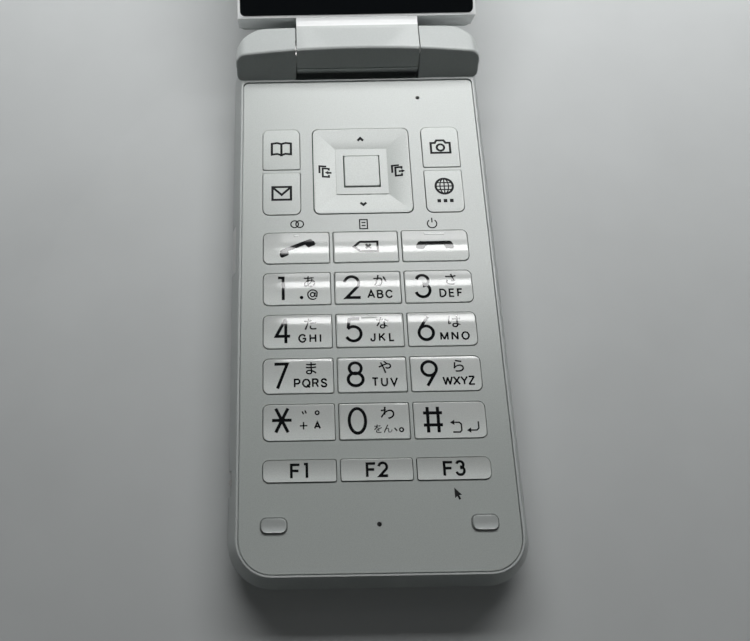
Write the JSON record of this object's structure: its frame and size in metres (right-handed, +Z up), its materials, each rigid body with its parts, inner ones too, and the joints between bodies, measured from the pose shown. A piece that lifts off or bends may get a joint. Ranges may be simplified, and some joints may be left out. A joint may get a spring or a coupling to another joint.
{
  "type": "feature phone",
  "caption": "Folding keypad phone, opened: a keypad half lies flat and a display half tilts up on a barrel hinge; keys press, cover slides.",
  "frame": {"origin": "on the flat back of the keypad half, below the middle of the keypad panel", "axes": "+X across the phone to the right of a user, +Y towards the hinge and display, +Z up out of the keypad"},
  "size_m": [0.0528, 0.2088, 0.0487],
  "materials": {
    "white_case": "satin pearl white lacquer",
    "keypad_panel": "satin pearl silver-white lacquer",
    "keys": "glossy pale silver with printed legends",
    "black_glass": "polished black glass",
    "white_rubber": "smooth",
    "grey_rubber": "smooth",
    "board": "solder mask",
    "steel": "plain",
    "battery": "wrapped can",
    "dark_plastic": "matte",
    "display": "backlight and panel stack",
    "flex": "polyimide film"
  },
  "bodies": {
    "base": {"base_front_case": "white_case", "keypad_panel": "keypad_panel", "base_rear_case": "white_case", "hinge_cap_left": "white_case", "hinge_cap_right": "white_case", "main_board": "board", "dome_switches": "steel", "key_mat": "grey_rubber", "battery": "battery", "charging_socket": "steel", "loudspeaker": "dark_plastic", "microphones": "steel", "vibration_motor": "steel", "bumper_pads": "white_rubber", "base_screws": "steel", "click_hinge": "steel", "hinge_bush": "steel", "card_socket": "steel", "strap_pin": "steel"},
    "lid": {"lid_front_case": "white_case", "lid_rear_case": "white_case", "display_window": "black_glass", "display_module": "display", "hinge_barrel": "white_case", "lid_board": "board", "receiver": "dark_plastic", "receiver_mesh": "steel", "camera_module": "dark_plastic", "camera_window": "black_glass", "sub_display": "display", "sub_display_window": "black_glass", "lid_screws": "steel", "hinge_flex": "flex"},
    "battery_cover": {"battery_cover": "white_case"},
    "port_cover": {"port_cover": "white_rubber"},
    "nav_hub": {"nav_hub": "grey_rubber"},
    "nav_ring": {"nav_ring": "keys"},
    "nav_ok": {"nav_ok": "keys"},
    "key_book": {"key_book": "keys"},
    "key_mail": {"key_mail": "keys"},
    "key_camera": {"key_camera": "keys"},
    "key_web": {"key_web": "keys"},
    "key_call": {"key_call": "keys"},
    "key_clear": {"key_clear": "keys"},
    "key_end": {"key_end": "keys"},
    "key_1": {"key_1": "keys"},
    "key_2": {"key_2": "keys"},
    "key_3": {"key_3": "keys"},
    "key_4": {"key_4": "keys"},
    "key_5": {"key_5": "keys"},
    "key_6": {"key_6": "keys"},
    "key_7": {"key_7": "keys"},
    "key_8": {"key_8": "keys"},
    "key_9": {"key_9": "keys"},
    "key_star": {"key_star": "keys"},
    "key_0": {"key_0": "keys"},
    "key_hash": {"key_hash": "keys"},
    "key_f1": {"key_f1": "keys"},
    "key_f2": {"key_f2": "keys"},
    "key_f3": {"key_f3": "keys"}
  },
  "joints": [
    {"name": "lid_hinge", "type": "hinge", "parent": "base", "child": "lid", "pos_m": [0, 0.0556, 0.01105], "axis": [1, 0, 0], "range_deg": [0, 160]},
    {"name": "battery_cover_slide", "type": "slide", "parent": "base", "child": "battery_cover", "axis": [0, -1, 0], "range_m": [0, 0.01]},
    {"name": "port_cover_hinge", "type": "hinge", "parent": "base", "child": "port_cover", "pos_m": [-0.0264, 0.007, 0.0051], "axis": [0, 0, 1], "range_deg": [0, 110]},
    {"name": "nav_hub_tilt", "type": "hinge", "parent": "base", "child": "nav_hub", "pos_m": [0, 0.028, 0.00785], "axis": [1, 0, 0], "range_deg": [-1.1, 1.1], "stiffness_Nm_per_rad": 0.2},
    {"name": "nav_ring_tilt", "type": "hinge", "parent": "nav_hub", "child": "nav_ring", "pos_m": [0, 0.028, 0.0085], "axis": [0, 1, 0], "range_deg": [-1.1, 1.1], "stiffness_Nm_per_rad": 0.2},
    {"name": "nav_ok_press", "type": "slide", "parent": "base", "child": "nav_ok", "axis": [0, 0, -1], "range_m": [0, 0.0003], "stiffness_N_per_m": 1000},
    {"name": "key_book_press", "type": "slide", "parent": "base", "child": "key_book", "axis": [0, 0, -1], "range_m": [0, 0.0003], "stiffness_N_per_m": 1000},
    {"name": "key_mail_press", "type": "slide", "parent": "base", "child": "key_mail", "axis": [0, 0, -1], "range_m": [0, 0.0003], "stiffness_N_per_m": 1000},
    {"name": "key_camera_press", "type": "slide", "parent": "base", "child": "key_camera", "axis": [0, 0, -1], "range_m": [0, 0.0003], "stiffness_N_per_m": 1000},
    {"name": "key_web_press", "type": "slide", "parent": "base", "child": "key_web", "axis": [0, 0, -1], "range_m": [0, 0.0003], "stiffness_N_per_m": 1000},
    {"name": "key_call_press", "type": "slide", "parent": "base", "child": "key_call", "axis": [0, 0, -1], "range_m": [0, 0.0003], "stiffness_N_per_m": 1000},
    {"name": "key_clear_press", "type": "slide", "parent": "base", "child": "key_clear", "axis": [0, 0, -1], "range_m": [0, 0.0003], "stiffness_N_per_m": 1000},
    {"name": "key_end_press", "type": "slide", "parent": "base", "child": "key_end", "axis": [0, 0, -1], "range_m": [0, 0.0003], "stiffness_N_per_m": 1000},
    {"name": "key_1_press", "type": "slide", "parent": "base", "child": "key_1", "axis": [0, 0, -1], "range_m": [0, 0.0003], "stiffness_N_per_m": 1000},
    {"name": "key_2_press", "type": "slide", "parent": "base", "child": "key_2", "axis": [0, 0, -1], "range_m": [0, 0.0003], "stiffness_N_per_m": 1000},
    {"name": "key_3_press", "type": "slide", "parent": "base", "child": "key_3", "axis": [0, 0, -1], "range_m": [0, 0.0003], "stiffness_N_per_m": 1000},
    {"name": "key_4_press", "type": "slide", "parent": "base", "child": "key_4", "axis": [0, 0, -1], "range_m": [0, 0.0003], "stiffness_N_per_m": 1000},
    {"name": "key_5_press", "type": "slide", "parent": "base", "child": "key_5", "axis": [0, 0, -1], "range_m": [0, 0.0003], "stiffness_N_per_m": 1000},
    {"name": "key_6_press", "type": "slide", "parent": "base", "child": "key_6", "axis": [0, 0, -1], "range_m": [0, 0.0003], "stiffness_N_per_m": 1000},
    {"name": "key_7_press", "type": "slide", "parent": "base", "child": "key_7", "axis": [0, 0, -1], "range_m": [0, 0.0003], "stiffness_N_per_m": 1000},
    {"name": "key_8_press", "type": "slide", "parent": "base", "child": "key_8", "axis": [0, 0, -1], "range_m": [0, 0.0003], "stiffness_N_per_m": 1000},
    {"name": "key_9_press", "type": "slide", "parent": "base", "child": "key_9", "axis": [0, 0, -1], "range_m": [0, 0.0003], "stiffness_N_per_m": 1000},
    {"name": "key_star_press", "type": "slide", "parent": "base", "child": "key_star", "axis": [0, 0, -1], "range_m": [0, 0.0003], "stiffness_N_per_m": 1000},
    {"name": "key_0_press", "type": "slide", "parent": "base", "child": "key_0", "axis": [0, 0, -1], "range_m": [0, 0.0003], "stiffness_N_per_m": 1000},
    {"name": "key_hash_press", "type": "slide", "parent": "base", "child": "key_hash", "axis": [0, 0, -1], "range_m": [0, 0.0003], "stiffness_N_per_m": 1000},
    {"name": "key_f1_press", "type": "slide", "parent": "base", "child": "key_f1", "axis": [0, 0, -1], "range_m": [0, 0.0003], "stiffness_N_per_m": 1000},
    {"name": "key_f2_press", "type": "slide", "parent": "base", "child": "key_f2", "axis": [0, 0, -1], "range_m": [0, 0.0003], "stiffness_N_per_m": 1000},
    {"name": "key_f3_press", "type": "slide", "parent": "base", "child": "key_f3", "axis": [0, 0, -1], "range_m": [0, 0.0003], "stiffness_N_per_m": 1000}
  ]
}
